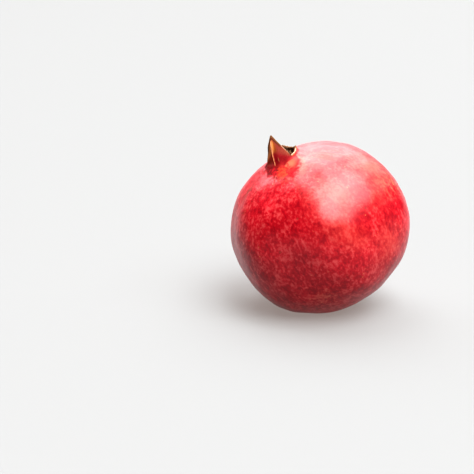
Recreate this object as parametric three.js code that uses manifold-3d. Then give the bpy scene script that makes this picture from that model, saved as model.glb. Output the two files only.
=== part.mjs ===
// A whole, ripe pomegranate, resting on its side with the crown tipped up and to the left.
// Millimetres, +Z up. The origin is on the small flat spot that the fruit rests on, below its weight.
//
// The fruit is worked out in its own frame first: the growth axis is local +Z, the crown is at the
// +Z end, the stem at the -Z end, and angles go round that axis. A group then tips it over.
//   fruit    rind, neck and crown, which grow as one piece, with a socket for the stem
//   stamens  the dried tuft that stands inside the crown
//   stem     the short woody stub left when the fruit was cut from the tree

import * as THREE from "three";
import { mergeVertices } from "three/addons/utils/BufferGeometryUtils.js";
import Module from "manifold-3d";

const wasm = await Module();
wasm.setup();

const { cos, sin, abs, exp, max, min, pow, sqrt, PI } = Math;
const degrees = THREE.MathUtils.degToRad;
const mix = THREE.MathUtils.lerp;

// How the fruit lies
const TILT = degrees(28.5); // growth axis from upright
const HEADING = degrees(194); // where the crown leans to, from +X
const CENTRE = new THREE.Vector3(-0.3, -0.1, 47.6); // middle of the fruit above the flat spot

// Body
const GIRTH_RADIUS = 52;
const CROWN_HALF = 47.4; // middle to crown pole
const STEM_HALF = 48; // middle to stem pole
const CROWN_FULLNESS = 2.05; // 2 is an ellipse, more is squarer in the shoulder
const STEM_FULLNESS = 2.15;
const RIBS = 6;
const RIB_DEPTH = 0.021; // share of the radius
const RIB_TURN = degrees(27.5);
const RIB_MIDDLE = degrees(75); // from the crown pole, where the ribs are deepest
const RIB_SPREAD = degrees(55);

// Neck and crown
const NECK_RADIUS = 9.1;
const NECK_RISE = 1.3; // how far the skin climbs to meet the crown
const NECK_REACH = 2.6;
const NECK_DIP = 1.3; // how far the skin sinks round the crown
const NECK_DIP_REACH = 15;
const TUBE_RADIUS = 9.6;
const TUBE_SQUEEZE = 0.35; // how far the tube is pressed in towards one side
const SQUEEZE_TURN = degrees(335);
const NOTCH = CROWN_HALF + 1.1; // level of the notches between the sepals
const TUBE_WALL = 2.0;
const EDGE_WALL = 0.9;
const CUP_FLOOR = NOTCH - 6;
const CUP_RADIUS = 6.6;
const SEPAL_BULGE = 0.8;
const SEPAL_BOW = 0.9; // how far the side of a whole sepal nearer its first notch bows out
// Each sepal: its share of the columns, and the height and the distance from the growth axis of
// its tip. The first is wide and leans in over the cup. One with no height is broken off.
const SEPALS = [
  { columns: 28, height: 14.1, reach: -0.9 },
  { columns: 12, height: 0 },
  { columns: 12, height: 0 },
  { columns: 14, height: 0 },
  { columns: 14, height: 8.5, reach: 2.5 },
];
// What is left of the broken sepals above the notches: a thin spur and a wide stump, each highest
// at an angle, and a low edge between them
const STUMPS = [
  { at: degrees(178.5), spread: degrees(8), height: 0.8, lean: 1.1 },
  { at: degrees(255), spread: degrees(30), height: 3.1, lean: 0.1 },
];
const TORN_EDGE = 0.2;
const FIRST_NOTCH = degrees(-10.5); // where the first sepal starts
const COLUMNS = SEPALS.reduce((sum, { columns }) => sum + columns, 0);
const COLUMN_STEP = (2 * PI) / COLUMNS;

// Stem end
const SOCKET_RADIUS = 3.7;
const SOCKET_FLOOR = -STEM_HALF + 4;
const DIMPLE_DEPTH = 0.8;
const DIMPLE_REACH = 7;
const STEM_RADIUS = 3.1;
const STEM_PROUD = 3.2; // how far the stub stands out beyond the stem pole
const FIT_GAP = 0.35; // clearance round a piece that stands in another

// Stamens
const PAD_THICKNESS = 1.1;
const STAMEN_RADIUS = 0.42;
const STAMEN_RINGS = [
  { count: 7, foot: 1.6, height: 6.2, spread: 0.8 },
  { count: 13, foot: 3.3, height: 6.8, spread: 1.2 },
  { count: 19, foot: 5.1, height: 6.4, spread: 1.3 },
];

// How finely the surfaces are divided
const BODY_ROWS = 25;
const NECK_ROWS = 4;
const CROWN_ROWS = 7;

const point = (radius, angle, height) =>
  new THREE.Vector3(radius * cos(angle), radius * sin(angle), height);

// A closed surface from rings of equally many points, from one end to the other, seen
// anticlockwise from outside the last ring. A ring of one point is a pole.
function latticeGeometry(rings) {
  const starts = [];
  const points = [];
  for (const ring of rings) {
    starts.push(points.length);
    points.push(...ring);
  }
  const faces = [];
  for (let r = 0; r + 1 < rings.length; r++) {
    const [low, high] = [rings[r], rings[r + 1]];
    const count = max(low.length, high.length);
    for (let c = 0; c < count; c++) {
      const next = (c + 1) % count;
      const [a, b] = [starts[r] + (c % low.length), starts[r] + (next % low.length)];
      const [d, e] = [starts[r + 1] + (c % high.length), starts[r + 1] + (next % high.length)];
      if (low.length > 1) faces.push(a, b, e);
      if (high.length > 1) faces.push(a, e, d);
    }
  }
  return new THREE.BufferGeometry().setFromPoints(points).setIndex(faces);
}

// A rod of round section along a curve, with flat ends. radiusAt takes 0 to 1 along it.
function rodGeometry(curve, radiusAt, sides, steps) {
  const frames = curve.computeFrenetFrames(steps, false);
  const rings = [[curve.getPointAt(0)]];
  for (let s = 0; s <= steps; s++) {
    const middle = curve.getPointAt(s / steps);
    const ring = [];
    for (let k = 0; k < sides; k++) {
      const angle = (2 * PI * k) / sides;
      const radius = radiusAt(s / steps, angle);
      ring.push(
        middle
          .clone()
          .addScaledVector(frames.normals[s], radius * cos(angle))
          .addScaledVector(frames.binormals[s], radius * sin(angle)),
      );
    }
    rings.push(ring);
  }
  rings.push([curve.getPointAt(1)]);
  return latticeGeometry(rings);
}

function solidOf(geometry) {
  const bare = geometry.clone();
  bare.deleteAttribute("normal");
  bare.deleteAttribute("uv");
  const merged = mergeVertices(bare, 1e-4);
  return new wasm.Manifold(
    new wasm.Mesh({
      numProp: 3,
      vertProperties: merged.attributes.position.array,
      triVerts: new Uint32Array(merged.index.array),
    }),
  );
}

function geometryOf(solid) {
  const mesh = solid.getMesh();
  const geometry = new THREE.BufferGeometry()
    .setAttribute("position", new THREE.BufferAttribute(mesh.vertProperties, 3))
    .setIndex(new THREE.BufferAttribute(mesh.triVerts, 1));
  geometry.computeVertexNormals();
  return geometry;
}

// Distance from the middle of the fruit to its skin, at a polar angle from the crown pole.
function bodyRadius(polar, angle) {
  const [along, across] = [abs(cos(polar)), sin(polar)];
  const crownSide = polar < PI / 2;
  const fullness = crownSide ? CROWN_FULLNESS : STEM_FULLNESS;
  const half = crownSide ? CROWN_HALF : STEM_HALF;
  const hull = pow(pow(across / GIRTH_RADIUS, fullness) + pow(along / half, fullness), -1 / fullness);
  const fade = across * across * exp(-pow((polar - RIB_MIDDLE) / RIB_SPREAD, 2));
  return hull * (1 + RIB_DEPTH * fade * cos(RIBS * (angle - RIB_TURN)));
}

// A point of the skin, with the climb to the crown and the dimple round the stem added.
function skinPoint(polar, angle) {
  const radius = bodyRadius(polar, angle);
  const across = radius * sin(polar);
  let height = radius * cos(polar);
  if (height > 0) {
    height += NECK_RISE * exp(-max(0, across - NECK_RADIUS) / NECK_REACH);
    height -= NECK_DIP * exp(-pow(across / NECK_DIP_REACH, 2));
  } else {
    height += DIMPLE_DEPTH * exp(-pow(across / DIMPLE_REACH, 2));
  }
  return point(across, angle, height);
}

// The polar angle at which the skin is at a given distance from the growth axis.
function polarAt(across, crownSide) {
  const [fullness, half] = crownSide ? [CROWN_FULLNESS, CROWN_HALF] : [STEM_FULLNESS, STEM_HALF];
  const height = half * pow(1 - pow(across / GIRTH_RADIUS, fullness), 1 / fullness);
  const polar = Math.atan2(across, height);
  return crownSide ? polar : PI - polar;
}

// The sepal that a column belongs to: its two notches and midrib, and how far across it the
// column lies, from -1 to 1.
function sepalAt(column) {
  let first = 0;
  for (const sepal of SEPALS) {
    if (column < first + sepal.columns) {
      const angleOf = (c) => FIRST_NOTCH + c * COLUMN_STEP;
      return {
        ...sepal,
        angle: angleOf(column),
        midrib: angleOf(first + sepal.columns / 2),
        edges: [angleOf(first), angleOf(first + sepal.columns)],
        across: (2 * (column - first)) / sepal.columns - 1,
      };
    }
    first += sepal.columns;
  }
}

// The rim of the crown: a whole sepal runs from each notch to its tip, and a broken one ends in a
// ragged edge a short way up.
function rimPoint({ height, reach, angle, midrib, edges, across }) {
  const tube = (turn) => TUBE_RADIUS - TUBE_SQUEEZE * (1 + cos(turn - SQUEEZE_TURN));
  if (height === 0) {
    let [radius, level] = [tube(angle), NOTCH + TORN_EDGE];
    for (const stump of STUMPS) {
      const rise = stump.height * exp(-(((angle - stump.at) / stump.spread) ** 2));
      level += rise;
      radius += stump.lean * rise;
    }
    return point(radius, angle, level);
  }
  const edge = edges[across < 0 ? 0 : 1];
  const bow = across < 0 ? SEPAL_BOW * sin(PI * abs(across)) : 0;
  const rim = point(reach, midrib, NOTCH + height).lerp(point(tube(edge), edge, NOTCH), abs(across));
  return rim.add(point(bow, edges[0], 0));
}

// A point of the crown's wall. rise goes from 0 at the neck to 1 at the rim, and depth is how far
// in from the outer face the point lies.
function crownPoint(column, rise, depth, neckLevel) {
  const sepal = sepalAt(column);
  const rim = rimPoint(sepal);
  const fullness = (1 - abs(sepal.across)) * min(1, (rim.z - neckLevel) / 12);
  const bulge = SEPAL_BULGE * 4 * rise * (1 - rise) * fullness;
  const place = point(NECK_RADIUS, sepal.angle, neckLevel);
  place.lerp(rim, rise).add(point(bulge, sepal.midrib, 0));
  const above = max(0, place.z - NOTCH);
  const inside = point(-6 * fullness * min(1, above / 4), sepal.midrib, place.z - 0.5 * above);
  return place.addScaledVector(inside.sub(place).normalize(), depth);
}

// Rind, neck and crown as one lattice, from the stem socket, over the skin, up the outside of
// the crown, over its rim and down the inside to the floor of the cup.
function fruitGeometry() {
  const columns = Array.from({ length: COLUMNS }, (_, c) => c);
  const ringOf = (place) => columns.map((c) => place(FIRST_NOTCH + c * COLUMN_STEP, c));
  const rings = [[new THREE.Vector3(0, 0, SOCKET_FLOOR)]];
  rings.push(ringOf((angle) => point(SOCKET_RADIUS, angle, SOCKET_FLOOR)));

  const first = polarAt(SOCKET_RADIUS, false);
  const neckFoot = polarAt(NECK_RADIUS + 3 * NECK_REACH, true);
  const last = polarAt(NECK_RADIUS, true);
  for (let r = 0; r <= BODY_ROWS; r++) {
    const polar = mix(first, neckFoot, r / BODY_ROWS);
    rings.push(ringOf((angle) => skinPoint(polar, angle)));
  }
  for (let r = 1; r <= NECK_ROWS; r++) {
    const polar = mix(neckFoot, last, 1 - pow(1 - r / NECK_ROWS, 1.6));
    rings.push(ringOf((angle) => skinPoint(polar, angle)));
  }

  const neckTop = skinPoint(last, 0).z;
  const wallAt = (rise) => mix(TUBE_WALL, EDGE_WALL, rise);
  for (let r = 1; r <= CROWN_ROWS; r++) {
    const rise = r / CROWN_ROWS;
    rings.push(ringOf((_, column) => crownPoint(column, rise, 0, neckTop)));
  }
  for (let r = CROWN_ROWS; r >= 1; r--) {
    const rise = r / CROWN_ROWS;
    rings.push(ringOf((_, column) => crownPoint(column, rise, wallAt(rise), neckTop)));
  }
  for (const share of [0.5, 1]) {
    const radius = mix(TUBE_RADIUS - TUBE_WALL, CUP_RADIUS, share);
    rings.push(ringOf((angle) => point(radius, angle, mix(neckTop, CUP_FLOOR, sqrt(share)))));
  }
  rings.push([new THREE.Vector3(0, 0, CUP_FLOOR)]);
  return latticeGeometry(rings);
}

// The flat spot: all that would lie below the table is taken off.
function restOnTable(geometry, placing) {
  const table = new THREE.BoxGeometry(200, 200, 40).translate(0, 0, -20);
  table.applyMatrix4(placing.clone().invert());
  return geometryOf(solidOf(geometry).subtract(solidOf(table)));
}

// A dried tuft: curved filaments that stand in rings on a small pad.
function stamenGeometry() {
  const foot = CUP_FLOOR + FIT_GAP;
  const pad = new THREE.LatheGeometry(
    [
      new THREE.Vector2(0, foot),
      new THREE.Vector2(CUP_RADIUS - 0.8, foot),
      new THREE.Vector2(CUP_RADIUS - 0.5, foot + PAD_THICKNESS),
      new THREE.Vector2(0, foot + PAD_THICKNESS),
    ],
    24,
  );
  pad.rotateX(PI / 2);
  let tuft = solidOf(pad);
  for (const { count, foot: reach, height, spread } of STAMEN_RINGS) {
    for (let k = 0; k < count; k++) {
      const angle = (2 * PI * (k + 0.37 * reach)) / count;
      const sway = sin(5 * k + reach);
      const curve = new THREE.QuadraticBezierCurve3(
        point(reach, angle, foot + 0.3),
        point(reach + spread, angle, foot + 0.6 * height),
        point(reach + 0.5 * spread * sway, angle + 0.06 * sway, foot + height + 0.7 * sway),
      );
      const taper = (share) => STAMEN_RADIUS * (1 - 0.25 * share);
      tuft = tuft.add(solidOf(rodGeometry(curve, taper, 4, 3)));
    }
  }
  return geometryOf(tuft);
}

// A woody stub that stands in the socket, cut off short.
function stemGeometry() {
  const curve = new THREE.LineCurve3(
    new THREE.Vector3(0, 0, SOCKET_FLOOR - FIT_GAP),
    new THREE.Vector3(0, 0, -STEM_HALF - STEM_PROUD),
  );
  const barky = (share, angle) => STEM_RADIUS * (1 - 0.1 * share + 0.05 * cos(5 * angle));
  return rodGeometry(curve, barky, 20, 4);
}

function namedMesh(name, geometry, color, roughness) {
  const material = new THREE.MeshStandardMaterial({ color, roughness, metalness: 0 });
  const mesh = new THREE.Mesh(geometry, material);
  mesh.name = name;
  return mesh;
}

const pomegranate = new THREE.Group();
pomegranate.position.copy(CENTRE);
pomegranate.rotation.set(0, TILT, HEADING, "ZYX");
pomegranate.updateMatrix();
pomegranate.add(
  namedMesh("fruit", restOnTable(fruitGeometry(), pomegranate.matrix), 0xc81e2c, 0.4),
  namedMesh("stamens", stamenGeometry(), 0x5a3a2c, 0.85),
  namedMesh("stem", stemGeometry(), 0x6b5238, 0.9),
);

export default pomegranate;
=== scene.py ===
"""A whole ripe pomegranate, lying tipped over on a plain pale floor in soft studio light.

Every form is worked out in the fruit's own frame, in millimetres: the growth axis is +Z, with the
crown at that end, and angles go round it. Lie tips the result over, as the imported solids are, and
build_piece turns it into metres.
"""

from __future__ import annotations

import logging
import math
from collections.abc import Callable
from dataclasses import dataclass, field
from enum import Enum

import bpy
import numpy as np
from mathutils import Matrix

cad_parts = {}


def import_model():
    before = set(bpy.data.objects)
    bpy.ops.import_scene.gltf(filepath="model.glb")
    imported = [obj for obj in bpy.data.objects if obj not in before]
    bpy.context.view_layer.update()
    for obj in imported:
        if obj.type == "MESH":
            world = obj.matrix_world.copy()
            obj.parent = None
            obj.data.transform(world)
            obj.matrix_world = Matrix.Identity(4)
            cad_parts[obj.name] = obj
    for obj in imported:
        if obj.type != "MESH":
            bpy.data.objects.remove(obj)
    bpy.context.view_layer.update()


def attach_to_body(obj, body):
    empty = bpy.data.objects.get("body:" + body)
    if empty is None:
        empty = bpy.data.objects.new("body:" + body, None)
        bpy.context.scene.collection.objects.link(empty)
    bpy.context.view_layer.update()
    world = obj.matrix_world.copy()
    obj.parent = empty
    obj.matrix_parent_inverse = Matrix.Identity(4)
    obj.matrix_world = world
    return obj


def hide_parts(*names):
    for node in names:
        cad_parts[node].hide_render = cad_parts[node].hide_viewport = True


log = logging.getLogger("pomegranate")

Array = np.ndarray
Piece = bpy.types.Object
Material = bpy.types.Material
Colour = tuple[float, float, float]
Pair = tuple[float, float]
Triple = tuple["Array | float", "Array | float", "Array | float"]
Ripples = tuple[tuple[float, int, float], ...]
BODY = "root"
MILLIMETRES = 1000.0
FULL_TURN = 2 * math.pi

# Marks that are the same over a whole block of rings.
NONE = (0.0, 0.0, 0.0)
STEM_END = (0.0, 1.0, 0.0)
INSIDE = (1.0, 1.0, 0.0)


class Node(Enum):
    """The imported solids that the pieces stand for."""

    FRUIT = "fruit"
    STAMENS = "stamens"
    STEM = "stem"


class Slot(Enum):
    """The record's material slots."""

    RIND = "rind"
    STAMENS = "dried_stamens"
    STEM = "woody_stem"


class Curve(Enum):
    """How a shader value goes from 0 to 1."""

    SOFT = "SMOOTHSTEP"
    STRAIGHT = "LINEAR"


# ---- numbers over whole arrays


def lerp(a: Array, b: Array, share: Array) -> Array:
    """a where share is 0, b where it is 1, and in proportion between."""
    return a + (b - a) * share


def smooth(value: Array, low: float, high: float) -> Array:
    """0 below low, 1 above high, and an S-curve 3t^2 - 2t^3 between them."""
    t = np.clip((value - low) / (high - low), 0.0, 1.0)
    return t * t * (3.0 - 2.0 * t)


@dataclass(frozen=True)
class Bell:
    """A smooth rise and fall: how high it is, where its middle is and how far it spreads."""

    height: float
    middle: float
    spread: float

    def at(self, value: Array) -> Array:
        """height exp(-((value - middle) / spread)^2)."""
        return self.height * np.exp(-(((value - self.middle) / self.spread) ** 2))


def ripple(angle: Array, ripples: Ripples) -> Array:
    """A sum of sines round the axis, each height * sin(count * angle + start)."""
    return sum(height * np.sin(count * angle + start) for height, count, start in ripples)


def ring_point(radius: Array, angle: Array, height: Array) -> Array:
    """Points at a distance from the growth axis, an angle round it and a height along it."""
    x, y = radius * np.cos(angle), radius * np.sin(angle)
    return np.stack(np.broadcast_arrays(x, y, height), axis=-1)


def pole(height: float) -> Array:
    """A ring of one point, on the growth axis."""
    return ring_point(np.zeros((1, 1)), 0.0, height)


def from_axis(points: Array) -> Array:
    """How far points are from the growth axis."""
    return np.hypot(points[..., 0], points[..., 1])


def round_about(count: int) -> Array:
    """Even angles over a full turn."""
    return FULL_TURN * np.arange(count) / count


def steps(count: int) -> Array:
    """A column of even shares, from one step above 0 to 1."""
    return np.linspace(0, 1, count + 1)[1:, None]


def unit(vectors: Array) -> Array:
    """Each vector over its own length."""
    return vectors / np.maximum(np.linalg.norm(vectors, axis=-1, keepdims=True), 1e-9)


@dataclass(frozen=True)
class Wave:
    """Smooth random relief: how high it is, how far from crest to crest, and what picks it."""

    height: float
    length: float
    seed: int
    count: int = 14

    def at(self, points: Array) -> Array:
        """The relief at places.

        It is a sum of plane sine waves, sin(2 pi p.d / l + phase), in random directions d, with
        lengths l between 0.7 and 1.4 times the one asked for.

        Args:
            points: places in millimetres, with the coordinates in the last axis.

        Returns:
            One number for each place, about zero, with a spread of about the height.
        """
        draw = np.random.default_rng(self.seed)
        ways = unit(draw.normal(size=(self.count, 3)))
        lengths = self.length * draw.uniform(0.7, 1.4, (self.count, 1))
        phases = draw.uniform(0, FULL_TURN, self.count)
        total = np.sin(FULL_TURN * points @ (ways / lengths).T + phases).sum(-1)
        return self.height * (total / math.sqrt(self.count / 2))


# ---- how the fruit lies


@dataclass(frozen=True)
class Lie:
    """Where the fruit's own frame is in the part's frame."""

    tilt: float = math.radians(28.5)
    heading: float = math.radians(194.0)
    centre: tuple[float, float, float] = (-0.3, -0.1, 47.6)

    def turn(self) -> Array:
        """The rotation: a tip by tilt about Y, then a turn by heading about Z.

        Returns:
            A matrix of shape (3, 3).
        """
        ct, st = math.cos(self.tilt), math.sin(self.tilt)
        ch, sh = math.cos(self.heading), math.sin(self.heading)
        tip = np.array([[ct, 0, st], [0, 1, 0], [-st, 0, ct]])
        spin = np.array([[ch, -sh, 0], [sh, ch, 0], [0, 0, 1]])
        return spin @ tip

    def place(self, points: Array) -> Array:
        """Moves points from the fruit's frame to the part's frame.

        They are turned and moved by centre, and none stays below the floor, which makes the flat
        spot.

        Args:
            points: places in the fruit's frame.

        Returns:
            The places in the part's frame.
        """
        placed = points @ self.turn().T + np.array(self.centre)
        placed[:, 2] = np.maximum(placed[:, 2], 0.0)
        return placed


LIE = Lie()


# ---- meshes


@dataclass
class Lattice:
    """Rings of points, (columns, 3) or (1, 3) at a pole, from one end of a closed surface to the
    other, and its marks: three numbers kept for every point, which a finish reads."""

    rings: list[Array] = field(default_factory=list)
    marks: dict[str, list[Array]] = field(default_factory=dict)

    def add(self, rings: Array, **marks: Triple) -> None:
        """Adds rings.

        Args:
            rings: shape (rings, columns, 3).
            marks: each mark's three numbers, or arrays that spread over rings and columns.
        """
        for name, numbers in marks.items():
            spread = [np.broadcast_to(number, rings.shape[:2]) for number in numbers]
            self.marks.setdefault(name, []).extend(np.stack(spread, axis=-1))
        self.rings.extend(rings)

    def flat(self) -> tuple[Array, dict[str, Array]]:
        """All the points in one array, and each mark's numbers in the same order."""
        marks = {name: np.concatenate(values) for name, values in self.marks.items()}
        return np.concatenate(self.rings), marks

    def faces(self) -> list[list[int]]:
        """Quads between rings, and triangles round a pole, where two corners are one.

        Returns:
            The corners of each. They go anticlockwise from outside when the rings do, seen from the
            far end.
        """
        starts = np.cumsum([0] + [len(r) for r in self.rings])
        faces: list[list[int]] = []
        for k in range(len(self.rings) - 1):
            low, high = len(self.rings[k]), len(self.rings[k + 1])
            here = np.arange(max(low, high))
            after = (here + 1) % len(here)
            near = starts[k] + np.stack([here % low, after % low])
            far = starts[k + 1] + np.stack([after % high, here % high])
            quads = np.concatenate([near, far]).T.tolist()
            faces.extend(list(dict.fromkeys(quad)) for quad in quads)
        return faces


def closed(*blocks: Array) -> Lattice:
    """A surface of blocks of rings that has no marks.

    Args:
        blocks: rings, in order.

    Returns:
        The surface.
    """
    made = Lattice()
    for rings in blocks:
        made.add(rings)
    return made


def join(parts: list[Lattice]) -> tuple[Array, list[list[int]]]:
    """Puts several surfaces into one mesh.

    Args:
        parts: the surfaces.

    Returns:
        All the points, and the faces with their corner numbers moved on.
    """
    points: list[Array] = []
    faces: list[list[int]] = []
    for part in parts:
        start = sum(map(len, points))
        faces += [[corner + start for corner in face] for face in part.faces()]
        points += part.rings
    return np.concatenate(points), faces


def add_object(name: str, data: bpy.types.ID) -> Piece:
    """Makes an object and links it to the scene.

    Args:
        name: what it is called.
        data: its mesh, light or camera.

    Returns:
        The object.
    """
    made = bpy.data.objects.new(name, data)
    bpy.context.scene.collection.objects.link(made)
    return made


def build_piece(
    name: str,
    points: Array,
    faces: list[list[int]],
    marks: dict[str, Array],
    material: Material,
) -> Piece:
    """Makes a smooth-shaded mesh object at the origin.

    Args:
        name: the piece's name.
        points: millimetres in the part's frame, shape (n, 3).
        faces: corner numbers of each face.
        marks: vectors to keep at the points, by name.
        material: what it is made of.

    Returns:
        The new object, linked to the scene.
    """
    mesh = bpy.data.meshes.new(name)
    mesh.from_pydata((points / MILLIMETRES).tolist(), [], faces)
    mesh.polygons.foreach_set("use_smooth", np.ones(len(mesh.polygons), dtype=bool))
    for mark, values in marks.items():
        layer = mesh.attributes.new(mark, "FLOAT_VECTOR", "POINT")
        layer.data.foreach_set("vector", np.ascontiguousarray(values, dtype=np.float32).ravel())
    mesh.update()
    mesh.validate()
    mesh.materials.append(material)
    return add_object(name, mesh)


# ---- shader maths


def sign(operation: str, swapped: bool = False) -> Callable[[Value, Value | float], Value]:
    """Makes the method for an arithmetic sign.

    Args:
        operation: what the Math node does.
        swapped: whether the other number comes first.

    Returns:
        A method that gives a Math node of this and the other number.
    """
    if swapped:
        return lambda this, other: this.paint.maths(operation, other, this)
    return lambda this, other: this.paint.maths(operation, this, other)


class Value:
    """A shader socket that can be used in Python arithmetic."""

    def __init__(self, paint: Paint, socket: bpy.types.NodeSocket) -> None:
        """Wraps an output socket of the paint's node tree."""
        self.paint = paint
        self.socket = socket

    __add__ = sign("ADD")
    __radd__ = sign("ADD", swapped=True)
    __sub__ = sign("SUBTRACT")
    __rsub__ = sign("SUBTRACT", swapped=True)
    __mul__ = sign("MULTIPLY")
    __rmul__ = sign("MULTIPLY", swapped=True)

    def absolute(self) -> Value:
        """This without its sign."""
        return self.paint.maths("ABSOLUTE", self, 0.0)

    def clamp(self) -> Value:
        """This, held between 0 and 1."""
        return self.smooth(0.0, 1.0, Curve.STRAIGHT)

    def smooth(self, low: float, high: float, curve: Curve = Curve.SOFT) -> Value:
        """0 at low, 1 at high, and a curve between.

        Args:
            low: where it is 0; it may be the larger.
            high: where it is 1.
            curve: how it rises between them.

        Returns:
            The share, held between 0 and 1.
        """
        start, end = (0.0, 1.0) if low < high else (1.0, 0.0)
        span = {"From Min": min(low, high), "From Max": max(low, high)}
        inputs = {"Value": self, **span, "To Min": start, "To Max": end}
        kind = {"interpolation_type": curve.value, "clamp": True}
        return self.paint.node("ShaderNodeMapRange", inputs, **kind)

    def between(self, start: float, full: float, fade: float, end: float) -> Value:
        """0 up to start, 1 from full to fade and 0 again from end, with S-curves between."""
        return self.smooth(start, full) * self.smooth(end, fade)


@dataclass(frozen=True)
class Grain:
    """Cloudy noise from 0 to 1: its cells in a millimetre, how many finer layers it has and how
    strong, how far it is bent, and how it is squeezed across and along the fruit."""

    cells: float
    detail: float = 3.0
    rough: float = 0.5
    bend: float = 0.0
    across: float = 1.0
    along: float = 1.0


class Paint:
    """A material being built, node by node."""

    def __init__(self, name: str) -> None:
        """Starts a material with a Principled shader.

        Args:
            name: what it is called.
        """
        self.material = bpy.data.materials.new(name)
        self.material.use_nodes = True
        self.tree = self.material.node_tree
        self.shader = next(n for n in self.tree.nodes if n.type == "BSDF_PRINCIPLED")

    def node(
        self, kind: str, inputs: dict, output: int | str = 0, **settings: str | bool
    ) -> Value:
        """Adds one node.

        Args:
            kind: the node's type.
            inputs: values or links, by socket name or number.
            output: the name or number of the output wanted.
            settings: its properties, set before anything is joined to it.

        Returns:
            That output.
        """
        made = self.tree.nodes.new(kind)
        for key, value in settings.items():
            setattr(made, key, value)
        for key, value in inputs.items():
            self.join(made.inputs[key], value)
        return Value(self, made.outputs[output])

    def join(self, socket: bpy.types.NodeSocket, value: Value | float | tuple) -> None:
        """Links a Value to a socket, or sets the socket.

        Args:
            socket: the input.
            value: a Value, a number or a colour.
        """
        if isinstance(value, Value):
            self.tree.links.new(value.socket, socket)
        elif socket.type == "RGBA":
            socket.default_value = (*value, 1.0)
        else:
            socket.default_value = value

    def maths(self, operation: str, a: Value | float, b: Value | float) -> Value:
        """One Math node of two numbers."""
        return self.node("ShaderNodeMath", {0: a, 1: b}, operation=operation)

    def mark(self, name: str) -> Value:
        """A vector kept at the mesh's points."""
        kept = {"attribute_name": name, "attribute_type": "GEOMETRY"}
        return self.node("ShaderNodeAttribute", {}, "Vector", **kept)

    def marks(self, name: str) -> tuple[Value, ...]:
        """The three numbers of a vector kept at the mesh's points."""
        split = self.node("ShaderNodeSeparateXYZ", {0: self.mark(name)}).socket.node
        return tuple(Value(self, output) for output in split.outputs)

    def noise(self, own: Value, grain: Grain) -> Value:
        """Cloudy noise at places in the fruit's own frame.

        Args:
            own: the places.
            grain: what it is like.

        Returns:
            The noise, from 0 to 1.
        """
        squeeze = (grain.across, grain.across, grain.along)
        place = self.node("ShaderNodeMapping", {"Vector": own, "Scale": squeeze})
        layers = {"Detail": grain.detail, "Roughness": grain.rough, "Distortion": grain.bend}
        return self.node("ShaderNodeTexNoise", {"Vector": place, "Scale": grain.cells, **layers})

    def cells(self, own: Value, scale: float) -> Value:
        """Distance to the nearest of many scattered points, as a share of a cell."""
        return self.node("ShaderNodeTexVoronoi", {"Vector": own, "Scale": scale}, "Distance")

    def mix(self, share: Value | float, a: Value | Colour, b: Value | Colour) -> Value:
        """Colour a where share is 0 and b where it is 1."""
        return self.node("ShaderNodeMix", {0: share, 6: a, 7: b}, 2, data_type="RGBA")

    def layers(self, base: Value | Colour, *coats: tuple[Value, Value | Colour]) -> Value:
        """Lays coats over a base colour.

        Args:
            base: the colour below all of them.
            coats: how much each covers and its colour, from the lowest up.

        Returns:
            The colour on top.
        """
        for share, colour in coats:
            base = self.mix(share, base, colour)
        return base

    def bump(
        self, height: Value, distance: float, strength: float, under: Value | None = None
    ) -> Value:
        """Tips the normal by the slope of a height.

        Args:
            height: from 0 to 1.
            distance: how many metres high 1 stands.
            strength: how much of it counts.
            under: the normal that it starts from.

        Returns:
            The normal.
        """
        inputs: dict = {"Height": height, "Distance": distance, "Strength": strength}
        if under is not None:
            inputs["Normal"] = under
        return self.node("ShaderNodeBump", inputs)

    def finish(self, **sockets: Value | float | tuple) -> Material:
        """Sets the shader's sockets.

        Args:
            sockets: values or links, by name, with underscores for spaces.

        Returns:
            The material.
        """
        for name, value in sockets.items():
            self.join(self.shader.inputs[name.replace("_", " ")], value)
        return self.material


# ---- the fruit


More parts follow.
